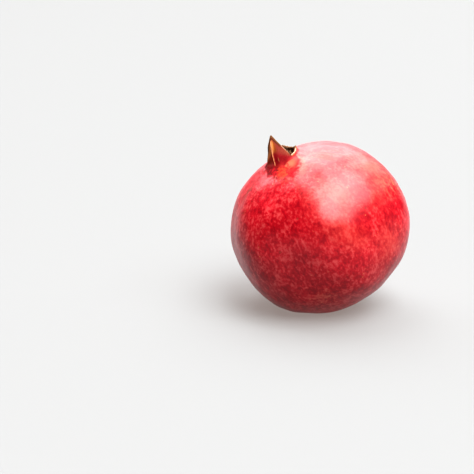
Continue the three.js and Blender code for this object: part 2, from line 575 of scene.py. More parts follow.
@dataclass(frozen=True)
class Body:
    """The swollen part of the fruit, a superellipsoid with broad ribs."""

    # The hull: its half width, and the half height and fullness of each end.
    girth: float = 52.0
    crown_half: float = 47.4
    stem_half: float = 48.0
    crown_fullness: float = 2.05
    stem_fullness: float = 2.15
    # The ribs: how many, where one stands, and how high they are by the polar angle.
    ribs: int = 6
    rib_turn: float = math.radians(27.5)
    rib: Bell = Bell(0.021, math.radians(75.0), math.radians(55.0))
    # The climb to the neck, the dip round it and the dimple at the stem's end.
    neck_radius: float = 9.1
    neck_rise: float = 1.3
    neck_reach: float = 2.6
    neck_dip: Bell = Bell(1.3, 0.0, 15.0)
    dimple: Bell = Bell(0.8, 0.0, 7.0)

    def radius(self, polar: Array, angle: Array) -> Array:
        """Distance from the middle to the skin.

        The hull is (|sin t / girth|^n + |cos t / half|^n)^(-1/n), where half and n are those of
        its end. It is taken times 1 plus the ribs, a cosine of the angle that fades towards both
        ends.

        Args:
            polar: the angle t from the crown's end.
            angle: the angle round the axis.

        Returns:
            The distance.
        """
        across, along = np.sin(polar), np.abs(np.cos(polar))
        crown_side = polar < math.pi / 2
        n = np.where(crown_side, self.crown_fullness, self.stem_fullness)
        half = np.where(crown_side, self.crown_half, self.stem_half)
        hull = ((across / self.girth) ** n + (along / half) ** n) ** (-1 / n)
        rib = self.rib.at(polar) * across**2
        return hull * (1 + rib * np.cos(self.ribs * (angle - self.rib_turn)))

    def skin(self, polar: Array, angle: Array) -> Array:
        """Points of the skin.

        The crown's end climbs by exp(-(distance from the neck) / reach) and loses a shallow dip,
        and the stem's end has a dimple: bells of the distance from the axis.

        Args:
            polar: the angle from the crown's end.
            angle: the angle round the axis.

        Returns:
            The points, with the coordinates in the last axis.
        """
        radius = self.radius(polar, angle)
        across, height = radius * np.sin(polar), radius * np.cos(polar)
        climb = self.neck_rise * np.exp(-np.maximum(0, across - self.neck_radius) / self.neck_reach)
        crown_end = climb - self.neck_dip.at(across)
        height = height + np.where(height > 0, crown_end, self.dimple.at(across))
        return ring_point(across, angle, height)

    def polar_at(self, across: float, crown_side: bool) -> float:
        """Where the hull is at a distance from the growth axis.

        Args:
            across: the distance.
            crown_side: whether it is on the crown's half.

        Returns:
            The polar angle.
        """
        n = self.crown_fullness if crown_side else self.stem_fullness
        half = self.crown_half if crown_side else self.stem_half
        height = half * (1 - (across / self.girth) ** n) ** (1 / n)
        polar = math.atan2(across, height)
        return polar if crown_side else math.pi - polar


@dataclass(frozen=True)
class Sepal:
    """One lobe of the crown: its share of the crown's columns, how high and how far from the
    growth axis its tip is. One with no height is broken off."""

    columns: int
    height: float = 0.0
    reach: float = 0.0


@dataclass(frozen=True)
class Stump:
    """What stands of the broken sepals round an angle in degrees, and how far out it leans for
    each millimetre of height."""

    rise: Bell
    lean: float


@dataclass(frozen=True)
class Lobes:
    """What each column's sepal is like: height and reach, the angles of the column, of its two
    notches and of its midrib, and how far across it the column is, from -1 to 1."""

    height: Array
    reach: Array
    angle: Array
    first: Array
    last: Array
    midrib: Array
    across: Array

    def tall(self) -> Array:
        """1 on a whole sepal and 0.15 on a broken one."""
        return np.where(self.height > 0, 1.0, 0.15)


@dataclass(frozen=True)
class Crown:
    """The calyx crown: a short tube that splits into unequal sepals round a cup."""

    # The sepals, from first_notch on, and what stands of the broken ones.
    sepals: tuple[Sepal, ...] = (
        Sepal(28, 14.1, -0.9),
        Sepal(12),
        Sepal(12),
        Sepal(14),
        Sepal(14, 8.5, 2.5),
    )
    stumps: tuple[Stump, ...] = (
        Stump(Bell(0.8, 178.5, 8.0), 1.1),
        Stump(Bell(3.1, 255.0, 30.0), 0.1),
    )
    torn_height: float = 0.2
    teeth: Ripples = ((0.10, 23, 1.0), (0.10, 41, 0.0), (0.05, 67, 0.0))
    first_notch: float = math.radians(-10.5)
    # The tube, pressed in on one side, and the height at which the sepals part.
    tube_radius: float = 9.6
    squeeze: float = 0.35
    squeeze_turn: float = math.radians(335.0)
    notch: float = 48.5
    # The wall: how thick it is at its foot and at its rim, and how far the edge swells.
    wall: float = 2.0
    edge: float = 0.9
    lip: float = 0.22
    # The form of a sepal: its blunt tip, bulge, bowed side, keel, folds and warp.
    full_height: float = 12.0
    blunt: float = 0.03
    bulge: float = 0.8
    bow: float = 0.9
    keel: Bell = Bell(0.35, -0.10, 0.05)
    keel_rise: Pair = (0.02, 0.2)
    fold: float = 0.03
    folds: int = 64
    fold_bend: Ripples = ((1.5, 9, 0.0),)
    fold_rise: Pair = (0.5, 3.0)
    warp: Wave = Wave(0.18, 9.0, 6)
    warp_rise: Pair = (0.0, 4.0)
    # The cup: how far its face leans in, over what height, and its floor.
    hollow: float = 6.0
    hollow_rise: float = 4.0
    cup_floor: float = 42.5
    cup_radius: float = 6.6
    # Where the rim is freshly torn, and how far out the foot colours the skin.
    side_turn: float = math.radians(-20.0)
    bare_turn: float = math.radians(126.0)
    bare_span: Pair = (0.69, 0.80)
    bare_least: float = 0.5
    flush_mean: float = 4.0
    flush_lean: float = 1.6
    flush_trim: float = 4.2
    trim_span: Pair = (0.60, 0.95)
    flush_most: float = 10.8
    flush_turn: float = math.radians(80.0)
    flush_width: float = 0.15

    def columns(self) -> int:
        """How many columns the sepals share."""
        return sum(sepal.columns for sepal in self.sepals)

    def layout(self, column: Array) -> Lobes:
        """Shares the crown's columns out among the sepals.

        Args:
            column: positions round the crown, from 0 to columns().

        Returns:
            What the sepals are like there.
        """
        table = np.array([(s.columns, s.height, s.reach) for s in self.sepals])
        starts = np.cumsum([0, *table[:, 0]])
        which = np.clip(np.searchsorted(starts, column, side="right") - 1, 0, len(table) - 1)
        width, height, reach = table[which].T
        step = FULL_TURN / self.columns()
        first = self.first_notch + starts[which] * step
        return Lobes(
            height=height,
            reach=reach,
            angle=self.first_notch + column * step,
            first=first,
            last=first + width * step,
            midrib=first + width * step / 2,
            across=2 * (column - starts[which]) / width - 1,
        )

    def side(self, angle: Array) -> Array:
        """Which side of the crown an angle is on: cos(angle - side_turn), 1 to -1."""
        return np.cos(angle - self.side_turn)

    def flush(self, angle: Array) -> Array:
        """Half of how far out the crown's foot colours the skin.

        It is a mean that leans with the side, trimmed round side_turn, plus
        most exp((cos(angle - flush_turn) - 1) / flush_width).

        Args:
            angle: the angle round the axis.

        Returns:
            The half distance.
        """
        spread = np.exp((np.cos(angle - self.flush_turn) - 1) / self.flush_width)
        side = self.side(angle)
        trimmed = self.flush_lean * side - self.flush_trim * smooth(side, *self.trim_span)
        return self.flush_mean + trimmed + self.flush_most * spread

    def bare(self, angle: Array) -> Array:
        """How freshly torn the rim is: 1 within about 40 degrees of bare_turn, then less."""
        return lerp(self.bare_least, 1.0, smooth(np.cos(angle - self.bare_turn), *self.bare_span))

    def tube(self, angle: Array) -> Array:
        """The tube's radius, which is pressed in by squeeze (1 + cos(angle - squeeze_turn))."""
        return self.tube_radius - self.squeeze * (1 + np.cos(angle - self.squeeze_turn))

    def rim(self, lobes: Lobes) -> Array:
        """The rim's points.

        A whole sepal runs straight from each notch to its tip, blunted by taking
        sqrt(across^2 + blunt^2) for the distance from the midrib, with its first side bowed out
        by a half sine. A broken one ends in a low torn edge with stumps and small teeth.

        Args:
            lobes: the layout of the columns.

        Returns:
            One point for each column.
        """
        across, angle = lobes.across, lobes.angle
        nearest = np.where(across < 0, lobes.first, lobes.last)
        notch = ring_point(self.tube(nearest), nearest, self.notch)
        tip = ring_point(lobes.reach, lobes.midrib, self.notch + lobes.height)
        side = np.minimum(1.0, np.sqrt(across**2 + self.blunt**2))
        bow = np.where(across < 0, self.bow * np.sin(math.pi * side), 0.0)
        whole = lerp(tip, notch, side[:, None]) + ring_point(bow, lobes.first, 0.0)
        radius, level = self.tube(angle), self.notch + self.torn_height
        for stump in self.stumps:
            rise = stump.rise.at(np.degrees(angle))
            radius, level = radius + stump.lean * rise, level + rise
        broken = ring_point(radius, angle, level + ripple(angle, self.teeth))
        return np.where(lobes.height[:, None] > 0, whole, broken)


@dataclass(frozen=True)
class Relief:
    """The skin's low relief: heights and lengths in millimetres, and where each kind is."""

    # Waves all over.
    broad: Wave = Wave(0.20, 26.0, 1)
    middling: Wave = Wave(0.075, 11.0, 2)
    # The lumpy collar round the neck.
    collar: float = 0.7
    collar_lumps: Wave = Wave(0.22, 5.0, 3)
    collar_place: Bell = Bell(1.0, 9.0, 5.0)
    # Creases that ring the neck, bent and broken up by waves.
    crease_length: float = 2.8
    crease_bend: Wave = Wave(1.6, 22.0, 4)
    crease_gaps: Wave = Wave(1.0, 30.0, 5)
    crease_cut: Pair = (-0.4, 1.0)
    crease_place: Bell = Bell(0.05, 20.0, 9.0)
    # Fine lines over the shoulder, from waves on a drum round the axis.
    line: float = 0.08
    line_wave: Wave = Wave(1.0, 9.0, 11)
    line_width: Bell = Bell(1.0, 0.0, 0.35)
    line_gaps: Wave = Wave(1.0, 18.0, 12)
    line_cut: Pair = (-0.9, 0.5)
    line_place: Bell = Bell(1.0, 24.0, 11.0)
    line_drum: float = 25.0
    line_stretch: float = 0.15
    # Where all of it fades out, towards the axis.
    fade: Pair = (4.0, 9.0)

    def height(self, points: Array) -> Array:
        """How far the skin stands out.

        There are waves all over, a lumpy collar round the neck, creases that ring it, a sine of
        the distance from the axis bent by waves, and the sunken lines. All of it fades out at the
        axis.

        Args:
            points: places on the smooth skin.

        Returns:
            One height for each place.
        """
        across = from_axis(points)
        upper = points[..., 2] > 0
        lumps = self.broad.at(points) + self.middling.at(points)
        collar = self.collar_place.at(across) * (self.collar + self.collar_lumps.at(points))
        bent = across + self.crease_bend.at(points)
        rings = np.sin(FULL_TURN * bent / self.crease_length)
        gaps = smooth(self.crease_gaps.at(points), *self.crease_cut)
        creases = self.crease_place.at(across) * gaps * rings
        total = lumps + (collar + creases) * upper - self.line * self.lines(points)
        return total * smooth(across, *self.fade)

    def lines(self, points: Array) -> Array:
        """Fine lines that run out from the crown over the shoulder.

        They are a bell of waves, where these cross zero, taken at the angle round the axis and a
        small share of the distance from it, which draws them out. Broader waves break them up.

        Args:
            points: places on the skin.

        Returns:
            How deep in a line each place is, from 0 to 1.
        """
        across = from_axis(points)
        angle = np.arctan2(points[..., 1], points[..., 0])
        drawn = ring_point(self.line_drum, angle, self.line_stretch * across)
        shoulder = self.line_place.at(across) * (points[..., 2] > 0)
        broken = smooth(self.line_gaps.at(points), *self.line_cut)
        return self.line_width.at(self.line_wave.at(drawn)) * shoulder * broken


@dataclass(frozen=True)
class Patch:
    """A soft-edged patch of another tone on the skin: where it lies, as a direction from the
    fruit's middle in its own frame, how far it reaches in millimetres, and how strong it is."""

    way: tuple[float, float, float]
    reach: float
    strength: float = 1.0


@dataclass(frozen=True)
class SkinTones:
    """Patches of other tones: an orange flush and darker blotches that ripened apart from the
    rest, and pale patches, painted highlight on the +Y side and paler skin on the -Y side.
    """

    flush: tuple[Patch, ...] = (
        Patch((-42, 29, 12), 8.5),
        Patch((-47, 18, -8), 6.0, 0.4),
        Patch((34, -30, 22), 10.0, 0.8),
        Patch((20, 40, -22), 7.0, 0.5),
    )
    blotch: tuple[Patch, ...] = (
        Patch((-16, 48, 9), 6.0, 0.9),
        Patch((-32, 39, 2), 7.0, 0.8),
        Patch((-25, 39, -24), 9.0, 0.7),
        Patch((14, 46, 10), 12.0, 0.4),
        Patch((44, 10, -20), 14.0, 0.9),
        Patch((-5, -48, -12), 12.0, 0.7),
        Patch((-46, -10, 6), 9.0, 0.6),
    )
    # Painted highlight: the pale patches with +Y ways lie under the softbox highlights and paint a
    # paler, warmer sheen into the skin; the two with -Y ways are paler skin.
    pale: tuple[Patch, ...] = (
        Patch((-12, 16, 44), 14.0, 0.60),
        Patch((-9, 51, 1), 7.0, 0.50),
        Patch((-25, 44, -13), 11.0, 0.60),
        Patch((-38, 26, 24), 15.0, 1.0),
        Patch((-9, 42, 27), 14.0, 0.90),
        Patch((-1, 51, 11), 9.0, 0.45),
        Patch((-30, 40, 12), 7.0, 0.55),
        Patch((-30, -36, 18), 13.0, 0.7),
        Patch((40, -24, -8), 10.0, 0.5),
    )

    def marks(self, own: Array) -> Array:
        """How much of each tone there is.

        Each patch adds a bell of the distance to its middle, which is taken as far out as the
        point is.

        Args:
            own: points in the fruit's own frame.

        Returns:
            Flush, blotch and pale (painted highlight on the +Y side) for each point, from 0 to 1.
        """
        far = np.linalg.norm(own, axis=-1, keepdims=True)
        totals = []
        for patches in (self.flush, self.blotch, self.pale):
            total = np.zeros(len(own))
            for patch in patches:
                middle = unit(np.array(patch.way, dtype=float)) * far
                gap = np.linalg.norm(own - middle, axis=-1)
                total += Bell(patch.strength, 0.0, patch.reach).at(gap)
            totals.append(np.minimum(total, 1.0))
        return np.stack(totals, axis=-1)


@dataclass(frozen=True)
class RindFinish:
    """Waxy, leathery red skin that turns brown and dry on the crown. Each bump is how high 1
    stands, in metres, and how much of it counts."""

    # The skin, from the ground tone up.
    red: Colour = (0.360, 0.002, 0.012)
    bright: Colour = (0.42, 0.005, 0.017)
    deep: Colour = (0.255, 0.0003, 0.009)
    salmon: Colour = (0.50, 0.058, 0.062)
    # Painted highlight in part: the warm pale pink laid on the pale patches, which on the +Y side
    # sit under the softbox highlights.
    pink_and_painted_highlight: Colour = (0.44, 0.085, 0.052)
    orange: Colour = (0.47, 0.085, 0.040)
    yellow: Colour = (0.60, 0.26, 0.09)
    fleck: Colour = (0.16, 0.035, 0.02)
    line: Colour = (0.16, 0.050, 0.030)
    # The skin round the crown's foot.
    flare_red: Colour = (0.31, 0.001, 0.008)
    flare_orange: Colour = (0.44, 0.045, 0.018)
    flare_pale: Colour = (0.46, 0.115, 0.062)
    flare_maroon: Colour = (0.10, 0.001, 0.002)
    # The outer face of the crown, and its streaks.
    crimson: Colour = (0.20, 0.003, 0.008)
    rose: Colour = (0.205, 0.036, 0.022)
    left_maroon: Colour = (0.26, 0.026, 0.008)
    left_olive: Colour = (0.33, 0.110, 0.030)
    left_pink: Colour = (0.36, 0.045, 0.040)
    amber: Colour = (0.68, 0.29, 0.14)
    rust: Colour = (0.28, 0.080, 0.012)
    gold: Colour = (0.62, 0.25, 0.080)
    dark_tip: Colour = (0.060, 0.014, 0.004)
    tan: Colour = (0.27, 0.095, 0.040)
    # The torn edge, and the inside: its dark tone is partly painted shade of the cup, and its
    # pale tone is partly painted highlight near the rim.
    cream: Colour = (0.58, 0.33, 0.23)
    edge_brown: Colour = (0.16, 0.075, 0.030)
    lining_and_painted_shade: Colour = (0.12, 0.062, 0.040)
    lining_pale_and_painted_highlight: Colour = (0.40, 0.28, 0.20)
    # Clouds and speckles of the skin; pores and blemishes are cells in a millimetre.
    cloud: Grain = Grain(0.10, 4.0, 0.6, 0.6)
    cluster: Grain = Grain(0.085, 2.0)
    mottle: Grain = Grain(0.30, 2.0, along=0.70)
    freckle: Grain = Grain(0.55, 2.0, along=0.70)
    speckle: Grain = Grain(0.72, 2.5, 0.55, along=0.70)
    pores: float = 0.26
    blemishes: float = 0.075
    # Patches and wrinkles at the crown's foot, the crown's fibres, and what frays borders.
    patch: Grain = Grain(0.30, rough=0.6)
    wrinkle: Grain = Grain(1.0, rough=0.55, across=0.50, along=1.5)
    fibre: Grain = Grain(1.0, rough=0.6, across=1.6, along=0.22)
    blur: Grain = Grain(0.55, 2.0)
    # Bumps.
    dents: Grain = Grain(0.28, rough=0.55)
    dent_bump: Pair = (0.0006, 0.25)
    leather: Grain = Grain(1.5, rough=0.6)
    leather_bump: Pair = (0.00012, 0.42)
    fibre_bump: Pair = (0.0004, 0.45)
    # Gloss: the wax coat wears off along the fine lines and ends at the crown.
    roughness: float = 0.46
    dry_roughness: float = 0.30
    wax: float = 0.62
    wax_roughness: float = 0.27
    wax_index: float = 1.45
    shine: float = 0.2
    line_wear: float = 0.28

    def skin(self, paint: Paint, own: Value) -> tuple[Value, Value]:
        """The skin's colour.

        The tone is a weighted sum of noises less the blotches, calmer where the pale mark is,
        which is painted highlight on the +Y side.
        tones are deep red and high ones salmon.

        Args:
            paint: the material.
            own: places in the fruit's own frame.

        Returns:
            The colour, and the speckle that also changes the gloss.
        """
        flush, blotch, pale = paint.marks("tones")
        cluster, mottle = paint.noise(own, self.cluster), paint.noise(own, self.mottle)
        freckle, speckle = paint.noise(own, self.freckle), paint.noise(own, self.speckle)
        grain = (speckle - 0.5) * 0.75 + (mottle - 0.5) * 0.60
        # Calmer grain where the pale mark paints highlight.
        tone = 0.5 + grain * (1.0 - pale * 0.65) + (cluster - 0.5) * 0.35 - blotch * 0.10
        pores = paint.cells(own, self.pores).smooth(0.13, 0.06)
        blemish = paint.cells(own, self.blemishes).smooth(0.070, 0.040)
        skin = paint.layers(
            self.red,
            (paint.noise(own, self.cloud).smooth(0.35, 0.68), self.bright),
            (tone.smooth(0.50, 0.32, Curve.STRAIGHT), self.deep),
            (tone.smooth(0.49, 0.69, Curve.STRAIGHT), self.salmon),
            # Painted highlight: pale pink on the pale patches, under the softbox highlights on the
            # +Y side.
            (pale * tone.smooth(0.25, 0.60) * 0.60, self.pink_and_painted_highlight),
            (flush * tone.smooth(0.40, 0.64) * 0.80, self.orange),
            (blotch * freckle.smooth(0.44, 0.60) * 0.45, self.deep),
            (pores * cluster.smooth(0.45, 0.62) * 0.45, self.yellow),
            (blemish * 0.5, self.fleck),
        )
        return skin, speckle

    def lobe(self, paint: Paint, fibres: Value, blur: Value) -> Value:
        """The outer face of the crown's lobes, by how far up and across they are.

        It is maroon and olive left of the keel, crimson and rose right of it. The tall sepal has
        a rusty and a golden streak, an amber keel with a short branch, and a dark tip.

        Args:
            paint: the material.
            fibres: noise drawn out along the fruit.
            blur: noise that frays the borders.

        Returns:
            The colour.
        """
        rise, across, tall = paint.marks("sepal")
        up = rise + (blur - 0.5) * 0.16
        over = across + (fibres - 0.5) * 0.10
        right = paint.layers(
            self.crimson,
            (up.smooth(0.34, 0.62), self.rose),
            (fibres.smooth(0.56, 0.72) * 0.45, self.left_maroon),
            (over.smooth(0.45, 0.90) * up.smooth(0.60, 0.95) * 0.7, self.tan),
        )
        left = paint.layers(
            self.left_maroon,
            (up.smooth(0.40, 0.62), self.left_olive),
            (up.smooth(0.34, 0.12), self.left_pink),
        )
        streak = rise.between(0.40, 0.62, 0.74, 0.90) * tall * 0.9
        width = 0.030 + rise.smooth(0.38, 0.74) * 0.045
        keel = (width - (over + 0.10).absolute()).smooth(-0.028, 0.028) * tall
        keel = keel * rise.between(0.00, 0.08, 0.85, 0.93) * fibres.smooth(0.20, 0.50)
        branch = (over - 0.19).absolute().smooth(0.035, 0.010) * tall
        branch = branch * rise.between(0.08, 0.16, 0.24, 0.36)
        tip = (up + across.absolute() * 0.18).smooth(0.84, 0.96) * over.smooth(0.55, 0.30) * tall
        return paint.layers(
            right,
            (over.smooth(-0.14, -0.24), left),
            (over.between(-0.10, -0.04, 0.08, 0.24) * streak, self.rust),
            (over.between(-0.13, -0.06, -0.02, 0.08) * streak, self.gold),
            (keel, self.amber),
            (branch * 0.80, self.tan),
            (tip * 0.9, self.dark_tip),
        )

    def flare(self, paint: Paint, own: Value, side: Value, foot: Value) -> Value:
        """The skin round the crown's foot.

        It goes from red over orange to red with maroon wrinkles. On the far side it is crimson at
        the root, then pale, and turns to salmon.

        Args:
            paint: the material.
            own: places in the fruit's own frame.
            side: which side of the crown it is, 1 to -1.
            foot: how near the crown it is, 0 to 1.

        Returns:
            The colour.
        """
        patch, wrinkle = paint.noise(own, self.patch), paint.noise(own, self.wrinkle)
        turn = side + (patch - 0.5) * 1.2
        dark = (wrinkle + (side - 0.35) * 0.20).smooth(0.48, 0.60)
        specks = wrinkle.smooth(0.56, 0.66) * side.smooth(0.0, -0.4) * foot.smooth(0.6, 0.9)
        root = foot.smooth(0.90, 0.98) * turn.smooth(-0.80, -0.50)
        close = foot.between(0.62, 0.86, 0.94, 1.0) * turn.smooth(-0.05, -0.40)
        return paint.layers(
            self.flare_red,
            (turn.smooth(-0.12, 0.02), self.flare_orange),
            (turn.smooth(0.08, 0.28), self.flare_red),
            (dark * 0.85, self.flare_maroon),
            (specks * 0.7, self.fleck),
            (root * 0.75, self.crimson),
            (close * 0.85, self.flare_pale),
            (side.smooth(-0.45, -0.80) * patch.smooth(0.3, 0.6), self.salmon),
        )

    def make(self) -> Material:
        """Builds the material, waxy on the skin and dry on the crown and its foot.

        The marks it reads are own (millimetres in the fruit's frame), zones (crown, inner face,
        rim edge), sepal (rise, across, how tall), ends (flare at the crown's foot, stem end,
        side of the crown), tones (orange flush, darker blotch, and pale: paler skin, and painted
        highlight on the +Y side) and lines (the first number is how deep in a fine line).

        Returns:
            The material.
        """
        paint = Paint("pomegranate_rind")
        own = paint.mark("own")
        crown, inner, edge = paint.marks("zones")
        foot, stem_end, side = paint.marks("ends")
        rise, _, _ = paint.marks("sepal")
        line, _, _ = paint.marks("lines")
        fibres, blur = paint.noise(own, self.fibre), paint.noise(own, self.blur)
        skin, speckle = self.skin(paint, own)
        halo = (foot + (blur - 0.5) * 0.40).smooth(0.10, 0.50) * side.smooth(-0.20, -0.55)
        spread = (foot + (blur - 0.5) * 0.55).smooth(0.38, 0.66)
        # Inner face: dark, with pale fibre streaks and pale patches near the rim; the dark depth is
        # partly painted shade of the hollow, and the pale rim patches are partly painted highlight.
        lining_and_painted_shade = paint.layers(
            self.lining_and_painted_shade,
            (fibres.smooth(0.50, 0.72), self.lining_pale_and_painted_highlight),
            (rise.smooth(0.60, 0.95) * blur.smooth(0.40, 0.58) * 0.8, self.lining_pale_and_painted_highlight),
        )
        rim = paint.mix(edge.smooth(0.62, 0.85), self.edge_brown, self.cream)
        surface = paint.layers(
            skin,
            (line * 0.50, self.line),
            (halo * 0.50, self.flare_pale),
            (spread * 0.96, self.flare(paint, own, side, foot)),
            (stem_end * 0.7, self.rust),
            (crown, self.lobe(paint, fibres, blur)),
            (inner, lining_and_painted_shade),
            (edge.smooth(0.0, 0.4), rim),
        )
        dry = (crown + inner + spread).clamp()
        wax = self.wax + (speckle - 0.5) * 0.10 - line * self.line_wear
        normal = paint.bump(paint.noise(own, self.dents), *self.dent_bump)
        normal = paint.bump(paint.noise(own, self.leather), *self.leather_bump, normal)
        normal = paint.bump(fibres * dry, *self.fibre_bump, normal)
        return paint.finish(
            Base_Color=surface,
            Roughness=self.roughness + (speckle - 0.5) * 0.08 + dry * self.dry_roughness,
            Normal=normal,
            Coat_Weight=wax * (1.0 - dry),
            Coat_Roughness=self.wax_roughness,
            IOR=self.wax_index,
            Specular_IOR_Level=self.shine,
        )


@dataclass(frozen=True)
class Rind:
    """The rind, neck and crown, one closed surface, as they grow."""

    body: Body = Body()
    crown: Crown = Crown()
    relief: Relief = Relief()
    tones: SkinTones = SkinTones()
    finish: RindFinish = RindFinish()
    # The socket of the stem, and the bell of rust-brown round it.
    socket_radius: float = 3.7
    socket_start: float = 0.2
    socket_floor: float = -44.0
    stem_end: Bell = Bell(1.0, 0.0, 6.0)
    # Where the colours of the crown's foot, its dry skin and the torn edge begin.
    flare_start: float = 10.0
    flare_side: Pair = (-0.97, -0.72)
    dry_start: Pair = (0.2, 2.4)
    torn_start: Pair = (0.90, 0.97)
    # The fillet at the crown's foot: how far out and how far up it goes.
    fillet: float = 1.3
    fillet_height: float = 1.9
    # The lattice.
    columns: int = 400
    socket_rows: int = 4
    body_rows: int = 118
    neck_rows: int = 18
    neck_crowding: float = 1.4
    crown_rows: int = 40
    edge_rows: int = 4
    inner_rows: int = 26
    inner_foot: float = 1 / 7
    cup_rows: int = 7

    def body_rings(self, angle: Array) -> Array:
        """Rings of skin from the stem socket to the neck, closer together near the neck.

        Args:
            angle: where the columns are.

        Returns:
            Points of shape (rings, columns, 3).
        """
        body = self.body
        start = body.polar_at(self.socket_radius, False)
        foot = body.polar_at(body.neck_radius + 3 * body.neck_reach, True)
        end = body.polar_at(body.neck_radius + self.fillet, True)
        main = np.linspace(start, foot, self.body_rows)[:, None]
        left = 1 - steps(self.neck_rows)
        neck = lerp(foot, end, 1 - left**self.neck_crowding)
        points = body.skin(np.concatenate([main, neck]), angle)
        return points + self.relief.height(points)[..., None] * unit(points)

    def add_body(self, lattice: Lattice, angle: Array) -> Array:
        """Adds the stem's socket and the skin.

        The flare round the crown's foot falls evenly from 1 at flare_start over twice the flush,
        but for the far side. The stem's end is a bell of the distance from the axis.

        Args:
            lattice: the surface, still empty.
            angle: where the columns are.

        Returns:
            The last ring of skin.
        """
        share = np.linspace(self.socket_start, 1.0, self.socket_rows)[:, None]
        socket = ring_point(self.socket_radius * share, angle, self.socket_floor)
        for rings in (pole(self.socket_floor), socket):
            lattice.add(rings, zones=NONE, sepal=NONE, ends=STEM_END)
        skin = self.body_rings(angle)
        across, upper, side = from_axis(skin), skin[..., 2] > 0, self.crown.side(angle)
        flare = np.clip(1 - (across - self.flare_start) / (2 * self.crown.flush(angle)), 0, 1)
        flare = flare * upper * smooth(side, *self.flare_side)
        stem_end = self.stem_end.at(across) * ~upper
        lattice.add(skin, zones=NONE, sepal=NONE, ends=(flare, stem_end, side))
        return skin[-1]

    def wall(self, lobes: Lobes, foot: Array, rise: Array, depth: Array) -> Array:
        """Points of the crown's wall.

        Each column runs straight from the foot to the rim and gains a bulge 4 r (1 - r), a thin
        keel on the tall sepal, fine folds and a fillet exp(-height / fillet_height) at the foot.
        depth then moves a point in, towards a place inside the cup that sinks as it rises.

        Args:
            lobes: the layout of the columns.
            foot: the last ring of skin.
            rise: 0 at the foot to 1 at the rim, shape (rows, 1).
            depth: how far in from the outer face, shape (rows, 1).

        Returns:
            Points of shape (rows, columns, 3).
        """
        crown, angle, midrib = self.crown, lobes.angle, lobes.midrib
        rim = crown.rim(lobes)
        height = rise * np.linalg.norm(rim - foot, axis=-1)
        stand = np.clip((rim[:, 2] - foot[:, 2]) / crown.full_height, 0.0, 1.0)
        full = (1 - np.abs(lobes.across)) * stand
        points = lerp(foot[None], rim[None], rise[..., None])
        bulge = crown.bulge * 4 * rise * (1 - rise) * full
        keel = crown.keel.at(lobes.across) * stand * smooth(rise, *crown.keel_rise)
        points = points + ring_point(bulge + keel, midrib, 0.0)
        sink = self.fillet * (1 - np.exp(-height / self.fillet_height)) * (1 - rise)
        folds = crown.fold * np.sin(crown.folds * angle + ripple(angle, crown.fold_bend))
        folds = folds * smooth(height, *crown.fold_rise)
        warp = crown.warp.at(points) * smooth(height, *crown.warp_rise)
        points = points + ring_point(folds + warp - sink, angle, 0.0)
        above = np.maximum(0.0, points[..., 2] - crown.notch)
        hollow = crown.hollow * full * np.minimum(1.0, above / crown.hollow_rise)
        inside = ring_point(-hollow, midrib, points[..., 2] - above / 2)
        return points + unit(inside - points) * depth[..., None]

    def add_crown(self, lattice: Lattice, lobes: Lobes, foot: Array) -> None:
        """Adds the crown: its outer face, the rounded torn edge, the inner face and the cup.

        Args:
            lattice: the surface, as far as the neck.
            lobes: the layout of the columns.
            foot: the last ring of skin.
        """
        crown, angle = self.crown, lobes.angle
        bare, side = crown.bare(angle), crown.side(angle)

        def add(rings: Array, zones: Triple, rise: Array | float) -> None:
            """Adds rings that are as much crown, inner face and rim edge as zones says."""
            sepal = (rise, lobes.across, lobes.tall())
            lattice.add(rings, zones=zones, sepal=sepal, ends=(1.0, 0.0, side))

        rise = steps(self.crown_rows)
        outer = self.wall(lobes, foot, rise, 0.0 * rise)
        begun = smooth(np.linalg.norm(outer - foot, axis=-1), *self.dry_start)
        add(outer, (begun, 0.0, bare * smooth(rise, *self.torn_start)), rise)

        turn = np.linspace(0, math.pi, self.edge_rows + 2)[1:-1, None]
        lip = self.wall(lobes, foot, np.ones_like(turn), crown.edge * (1 - np.cos(turn)) / 2)
        add(lip + np.array([0, 0, crown.lip]) * np.sin(turn)[..., None], (1.0, 0.0, bare), 1.0)

        rise = np.linspace(1, self.inner_foot, self.inner_rows)[:, None]
        inner = self.wall(lobes, foot, rise, lerp(crown.wall, crown.edge, rise))
        add(inner, INSIDE, rise)

        share = steps(self.cup_rows)
        floor = ring_point(crown.cup_radius, angle, crown.cup_floor)
        add(lerp(inner[-1:], floor[None], share[..., None]), INSIDE, 0.0)
        add(ring_point(crown.cup_radius * (1 - share[:-1]), angle, crown.cup_floor), INSIDE, 0.0)
        lattice.add(pole(crown.cup_floor), zones=INSIDE, sepal=NONE, ends=NONE)

    def build(self) -> Piece:
        """Builds the rind, with its marks.

        Returns:
            The piece.
        """
        step = self.crown.columns() / self.columns
        lobes = self.crown.layout(np.arange(self.columns) * step)
        lattice = Lattice()
        foot = self.add_body(lattice, lobes.angle)
        self.add_crown(lattice, lobes, foot)
        own, marks = lattice.flat()
        lines = self.relief.lines(own)[:, None] * np.array([1.0, 0.0, 0.0])
        marks |= {"own": own, "tones": self.tones.marks(own), "lines": lines}
        return build_piece("rind", LIE.place(own), lattice.faces(), marks, self.finish.make())


# ---- stamens and stem


def tube(path: Array, radii: Array, sides: int) -> Lattice:
    """A closed tube along a path, of rings set square to the path's direction.

    Args:
        path: shape (steps, 3).
        radii: one for each step.
        sides: points in a ring.

    Returns:
        Its surface.
    """
    along = unit(np.gradient(path, axis=0))
    helper = np.where(np.abs(along[:, 2:]) < 0.9, [0.0, 0.0, 1.0], [1.0, 0.0, 0.0])
    side = unit(np.cross(helper, along))
    turn = round_about(sides)[:, None]
    ring = side[:, None] * np.cos(turn) + np.cross(along, side)[:, None] * np.sin(turn)
    return closed(path[:1, None], path[:, None] + ring * radii[:, None, None], path[-1:, None])


